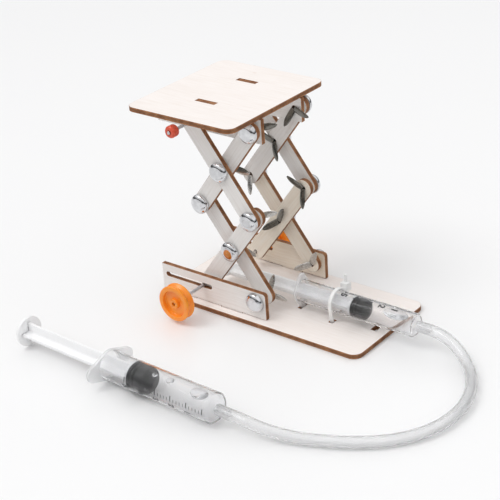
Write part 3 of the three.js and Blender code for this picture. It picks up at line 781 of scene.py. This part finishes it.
# ---------------------------------------------------------------- syringes
# Each syringe is built along X about its own axis and then placed, as it is in the CAD source.
# Sizes are in mm: reach, middle and tip are the flange's half length, middle radius and tip radius.
THUMB_PAST_AXLE = 5
LIFT = {
    "name": "lift", "y": -4.4, "z": 13.2, "yaw": 0.0,
    "thumb": JOINT_AT["lower_axle_spin"].x / MM - THUMB_PAST_AXLE, "thumb_radius": 6.4, "rib": 9.0,
    "flange": 12.5, "flange_thick": 1.7, "reach": 11.3, "middle": 7.3, "tip": 2.8, "along_y": False,
    "front": 91.2, "radius": 6.8, "bore": 5.9, "piston_front": 59.8, "piston_length": 9.4,
}
HAND = {
    "name": "hand", "y": -121.6, "z": 9.2, "yaw": math.radians(-1.8),
    "thumb": -95.2, "thumb_radius": 8.9, "rib": 11.4,
    "flange": -32.2, "flange_thick": 2.0, "reach": 17.1, "middle": 9.0, "tip": 4.6, "along_y": True,
    "front": 45.9, "radius": 8.6, "bore": 7.6, "piston_front": 0.4, "piston_length": 12.2,
}
NOZZLE = {"radius": 1.9, "bore": 1.0, "length": 8.5}
END_WALL = 1.4
RIB_THICKNESS = 1.5
BOSS = {"half_length": 4.5, "radius": 3.2}
FLARE = {"length": 7.0, "height": 0.8}
TAPER_LENGTH = 12.0
TICKS_PER_NUMBER = 5
DIGIT_SIZE = 5.4


def placed(s):
    axis_at = Vector((0, s["y"], s["z"])) * MM
    return Matrix.Translation(axis_at) @ Matrix.Rotation(s["yaw"], 4, "Z")


def mm_points(points):
    return [(a * MM, b * MM) for a, b in points]


def flange_outline(s):
    """The outline round a large middle circle and a small one at each end, reach along the first axis."""
    reach, middle, tip = s["reach"], s["middle"], s["tip"]
    tangent = math.acos((middle - tip) / (reach - tip))
    arcs = [(reach - tip, tip, -tangent, tangent, 12), (0, middle, tangent, math.pi - tangent, 16),
            (tip - reach, tip, math.pi - tangent, math.pi + tangent, 12),
            (0, middle, math.pi + tangent, 2 * math.pi - tangent, 16)]
    points = []
    for centre, radius, start, end, steps in arcs:
        for step in range(steps + 1):
            a = start + (end - start) * step / steps
            point = (centre + radius * math.cos(a), radius * math.sin(a))
            points.append(point if s["along_y"] else (point[1], point[0]))
    return points


def add_barrel(s):
    """The clear tube with its end wall and nozzle, and the milky finger flange round it."""
    front, radius, bore, back = s["front"], s["radius"], s["bore"], s["flange"]
    tip = front + NOZZLE["length"]
    floor = front - END_WALL
    profile = [
        (back, bore), (back, radius), (front - 1.4, radius), (front, radius - 1.4),
        (front, NOZZLE["radius"] + 0.4), (front + 0.5, NOZZLE["radius"]), (tip, NOZZLE["radius"] - 0.1),
        (tip, NOZZLE["bore"]), (floor, NOZZLE["bore"]), (floor, bore - 0.4), (floor - 0.8, bore),
        (back, bore),
    ]
    turned = rounded(mm_points(profile), 0.5 * MM, 4)[:-1]
    tube = lathe(f"{s['name']}_barrel_tube", turned, "x", Vector(), BARREL, 72, closed=True, smooth=45)
    moved(tube, placed(s))
    stands_for(tube, f"{s['name']}_barrel")
    hole = circle_points((radius - 0.05) * MM, 64)
    flange = extrude(f"{s['name']}_barrel_flange", mm_points(flange_outline(s)), hole,
                     back * MM, (back + s["flange_thick"]) * MM, FLANGE, 0.4 * MM)
    moved(flange, placed(s))
    goes_with(flange, f"{s['name']}_barrel")


def piston_profile(s):
    """Two thin sealing ribs at the rear and a thick block with a shallow cone in front."""
    front, length, bore = s["piston_front"], s["piston_length"], s["bore"]
    rear = front - length
    lip, waist = bore - 0.15, bore * 0.8
    rib = length * 0.1
    return [
        (rear, 0), (rear, lip), (rear + rib, lip), (rear + 1.4 * rib, waist), (rear + 1.9 * rib, waist),
        (rear + 2.3 * rib, lip), (rear + 3.1 * rib, lip), (rear + 3.5 * rib, waist),
        (rear + 4.0 * rib, waist), (rear + 4.4 * rib, lip),
        (front - 1.3, lip), (front - 0.9, lip * 0.93), (front, 0),
    ]


def add_piston(s):
    profile = rounded(mm_points(piston_profile(s)), 0.3 * MM, 3)
    obj = lathe(f"{s['name']}_piston_rubber", profile, "x", Vector(), RUBBER, 64, smooth=50)
    moved(obj, placed(s))
    stands_for(obj, f"{s['name']}_piston")


def cross_outline(half, thin, fillet):
    """A plus-shaped section with filleted inner corners, from sizes in mm."""
    inner = thin + 0.3 * fillet
    quarter = [(half, thin), (thin + fillet, thin), (inner, inner), (thin, thin + fillet), (thin, half)]
    points = []
    for turn in range(4):
        c, q = math.cos(turn * math.pi / 2), math.sin(turn * math.pi / 2)
        points += [((y * c - z * q) * MM, (y * q + z * c) * MM) for y, z in quarter]
    return points


def add_plunger_boss(s):
    """The ring that carries the lift plunger on the lower axle."""
    half, radius, hole = BOSS["half_length"], BOSS["radius"], AXLE_HOLE / MM
    boss = mm_points([(-half, hole), (-half, radius), (half, radius), (half, hole), (-half, hole)])
    centre = Vector((JOINT_AT["lower_axle_spin"].x, s["y"] * MM, s["z"] * MM))
    ring = lathe("lift_plunger_boss", rounded(boss, 0.3 * MM, 3)[:-1], "y", centre, PLUNGER, 48,
                 closed=True, smooth=40)
    goes_with(ring, "lift_plunger")


def add_plunger(s):
    """A ribbed rod, wider at its thumb disc, with a round seat behind the piston."""
    name = s["name"]
    seat = s["piston_front"] - s["piston_length"] - 0.3
    thumb, r = s["thumb"], s["thumb_radius"]
    half, thin = s["rib"] / 2, RIB_THICKNESS / 2
    start, stop = thumb - 0.4, seat - 1.2
    stations = 30
    centres = []
    for i in range(stations + 1):
        centres.append(Vector(((start + (stop - start) * i / stations) * MM, 0, 0)))

    def section(index):
        along = start + (stop - start) * index / stations
        flare = max(0.0, 1 - (along - start) / FLARE["length"])
        taper = 0.94 + 0.06 * min(1.0, (along - start) / TAPER_LENGTH)
        width = half * taper + FLARE["height"] * flare * flare
        return cross_outline(width, thin, 0.9)

    frames = [(Vector((0, 1, 0)), Vector((0, 0, 1)))] * len(centres)
    ribs = sweep(f"{name}_plunger_ribs", centres, frames, section, PLUNGER, smooth=30)
    disc = mm_points([(thumb - 1.8, 0), (thumb - 1.8, r * 0.55), (thumb - 1.6, r * 0.9),
                      (thumb - 1.8, r), (thumb, r), (thumb, 0)])
    rounded_disc = rounded(disc, 0.45 * MM, 4)
    thumb_disc = lathe(f"{name}_plunger_thumb", rounded_disc, "x", Vector(), PLUNGER, 64, smooth=40)
    rim = s["bore"] - 0.5
    seat_profile = mm_points([(seat - 1.6, 0), (seat - 1.6, rim), (seat, rim), (seat, 0)])
    rounded_seat = rounded(seat_profile, 0.3 * MM, 3)
    seat_disc = lathe(f"{name}_plunger_seat", rounded_seat, "x", Vector(), PLUNGER, 64, smooth=40)
    whole = join_meshes(f"{name}_plunger_moulding", [ribs, thumb_disc, seat_disc])
    moved(whole, placed(s))
    stands_for(whole, f"{name}_plunger")


def on_barrel(s, along, elevation, above):
    """A point in mm along the barrel, degrees up from -Y round it, and mm above its surface."""
    r = s["radius"] + above
    a = math.radians(elevation)
    return Vector((along, -r * math.cos(a), r * math.sin(a))) * MM


def tick_patch(s, along, width, low, high):
    """Vertices and faces of one printed line round part of the barrel, a thin raised film."""
    steps = max(3, int(abs(high - low) / 6))
    vertices, faces = [], []
    for step in range(steps + 1):
        angle = low + (high - low) * step / steps
        for x in (along - width / 2, along + width / 2):
            vertices += [on_barrel(s, x, angle, 0.02), on_barrel(s, x, angle, 0.07)]
    for step in range(steps):
        a = step * 4
        b = a + 4
        faces += [(a + 1, a + 3, b + 3, b + 1), (a, b, b + 2, a + 2),
                  (a, a + 1, b + 1, b), (a + 2, b + 2, b + 3, a + 3)]
    faces += [(0, 2, 3, 1), (steps * 4, steps * 4 + 1, steps * 4 + 3, steps * 4 + 2)]
    return vertices, faces


def digit_mesh(text, size):
    """A plain number as a thin bold mesh."""
    curve = bpy.data.curves.new(f"digit_{text}", "FONT")
    curve.body = text
    curve.size = size
    curve.extrude = 0.02
    curve.align_x = "CENTER"
    curve.align_y = "CENTER"
    curve.offset = 0.035 * size
    holder = bpy.data.objects.new("digit_holder", curve)
    bpy.context.scene.collection.objects.link(holder)
    depsgraph = bpy.context.evaluated_depsgraph_get()
    mesh = bpy.data.meshes.new_from_object(holder.evaluated_get(depsgraph))
    bpy.data.objects.remove(holder)
    return mesh


def add_scale(s, zero, spacing, count, ticks, digits):
    """Printed lines from zero back, with plain numbers every spacing mm that run round the barrel.

    ticks is the (low, high) of the long lines and digits the middle of the numbers, as elevations.
    """
    vertices, faces = [], []
    for index in range(count * TICKS_PER_NUMBER + 1):
        along = zero - spacing * index / TICKS_PER_NUMBER
        major = index % TICKS_PER_NUMBER == 0
        low, high = ticks if major else (ticks[0] + 0.42 * (ticks[1] - ticks[0]), ticks[1])
        new_vertices, new_faces = tick_patch(s, along, 0.6 if major else 0.38, low, high)
        faces += [tuple(i + len(vertices) for i in f) for f in new_faces]
        vertices += new_vertices
    r = s["radius"]
    for number in range(1, count + 1):
        mesh = digit_mesh(str(number), DIGIT_SIZE)
        base = len(vertices)
        for v in mesh.vertices:
            elevation = digits - math.degrees(v.co.x / r)
            vertices.append(on_barrel(s, zero - spacing * number + v.co.y, elevation, 0.045 + v.co.z))
        faces += [tuple(i + base for i in p.vertices) for p in mesh.polygons]
        bpy.data.meshes.remove(mesh)
    obj = add_mesh(f"{s['name']}_scale_print", vertices, faces, [INK], 20)
    moved(obj, placed(s))
    goes_with(obj, f"{s['name']}_barrel")


def add_bubble(name, s, along, elevation, sizes, node):
    """A flattened air bubble that hugs the inside of the bore, with (long, wide, thick) half sizes."""
    rings, segments = 12, 24
    vertices, faces = [], []
    long, wide, thick = sizes
    for i in range(rings + 1):
        lat = math.pi * i / rings
        for j in range(segments):
            lon = 2 * math.pi * j / segments
            x = along + long * math.sin(lat) * math.cos(lon)
            round_by = wide * math.sin(lat) * math.sin(lon)
            out = s["bore"] - 0.25 - thick + thick * math.cos(lat)
            angle = math.radians(elevation) + round_by / s["bore"]
            vertices.append(Vector((x, -out * math.cos(angle), out * math.sin(angle))) * MM)
    for i in range(rings):
        for j in range(segments):
            k = (j + 1) % segments
            a, b = i * segments, (i + 1) * segments
            faces.append((a + j, a + k, b + k, b + j))
    obj = add_mesh(name, vertices, faces, [BUBBLE], 60)
    bm = bmesh.new()
    bm.from_mesh(obj.data)
    bmesh.ops.remove_doubles(bm, verts=bm.verts, dist=1e-7)
    bm.to_mesh(obj.data)
    bm.free()
    shade(obj, 60)
    moved(obj, placed(s))
    goes_with(obj, node)


# ---------------------------------------------------------------- cable tie
def add_tie():
    """The strap, its head and its upright tail, with every sharp edge rounded."""
    bm = cad_copy("cable_tie")
    sharp = [e for e in bm.edges if e.calc_face_angle(0) > math.radians(50)]
    round_edges(bm, sharp, 0.22 * MM, 3, 0.6)
    obj = add_bmesh("cable_tie_nylon", bm, [TIE])
    shade(obj, 40)
    stands_for(obj, "cable_tie")


# ---------------------------------------------------------------- studio
def sun(name, direction, spread, strength):
    """A soft light from a direction; spread is its angular size in degrees."""
    data = bpy.data.lights.new(name, "SUN")
    data.angle = math.radians(spread)
    data.energy = strength
    light = bpy.data.objects.new(name, data)
    bpy.context.scene.collection.objects.link(light)
    light.rotation_mode = "QUATERNION"
    light.rotation_quaternion = (-Vector(direction)).to_track_quat("-Z", "Y")


def add_studio():
    """A pale floor just under the object, a soft key light, and a bright sky over a dark horizon."""
    reach = 6.0
    low = -0.0002
    corners = [(-reach, -reach, low), (reach, -reach, low), (reach, reach, low), (-reach, reach, low)]
    add_mesh("floor", corners, [(0, 1, 2, 3)], [floor_material()])
    world = bpy.data.worlds.new("studio")
    world.use_nodes = True
    tree = world.node_tree
    shaded = tree.nodes["Background"]
    direction = tree.nodes.new("ShaderNodeTexCoord").outputs["Generated"]
    height = add(tree, "ShaderNodeSeparateXYZ", {0: direction}).outputs[2]
    sky = ramp(tree, height, [(0.0, (0.03, 0.03, 0.032)), (0.1, (0.04, 0.04, 0.043)),
                              (0.26, (0.3, 0.3, 0.305)), (0.42, (1.0, 1.0, 1.01)), (1.0, (1.0, 1.0, 1.0))])
    tree.links.new(sky, shaded.inputs[0])
    shaded.inputs[1].default_value = 0.96
    bpy.context.scene.world = world
    sun("key", (-0.36, -0.42, 0.83), 30, 0.82)
    bpy.context.scene.view_settings.view_transform = "Standard"


# ---------------------------------------------------------------- assembly
add_camera()
add_hose()
add_plywood()
add_pins()
for node_name in ("lower_axle", "upper_axle"):
    add_axle(node_name)
for side_name in ("near", "far"):
    add_pulley(f"{side_name}_pulley")
    add_collar(f"{side_name}_collar")
for syringe in (LIFT, HAND):
    add_barrel(syringe)
    add_piston(syringe)
    add_plunger(syringe)
add_plunger_boss(LIFT)
add_scale(HAND, 43, 11, 5, (21, 0), -18)
add_scale(LIFT, 86, 8.4, 5, (92, 118), 76)
add_bubble("hand_bubble_small", HAND, 4.6, 78, (1.5, 1.6, 0.7), "hand_plunger")
add_bubble("hand_bubble_middle", HAND, 15, 82, (2.4, 2.4, 0.9), "hand_plunger")
add_bubble("hand_bubble_large", HAND, 35, 84, (5.5, 5.0, 1.6), "hand_barrel")
add_bubble("lift_bubble_large", LIFT, 78, 80, (8.0, 5.5, 1.8), "lift_barrel")
add_tie()
add_studio()
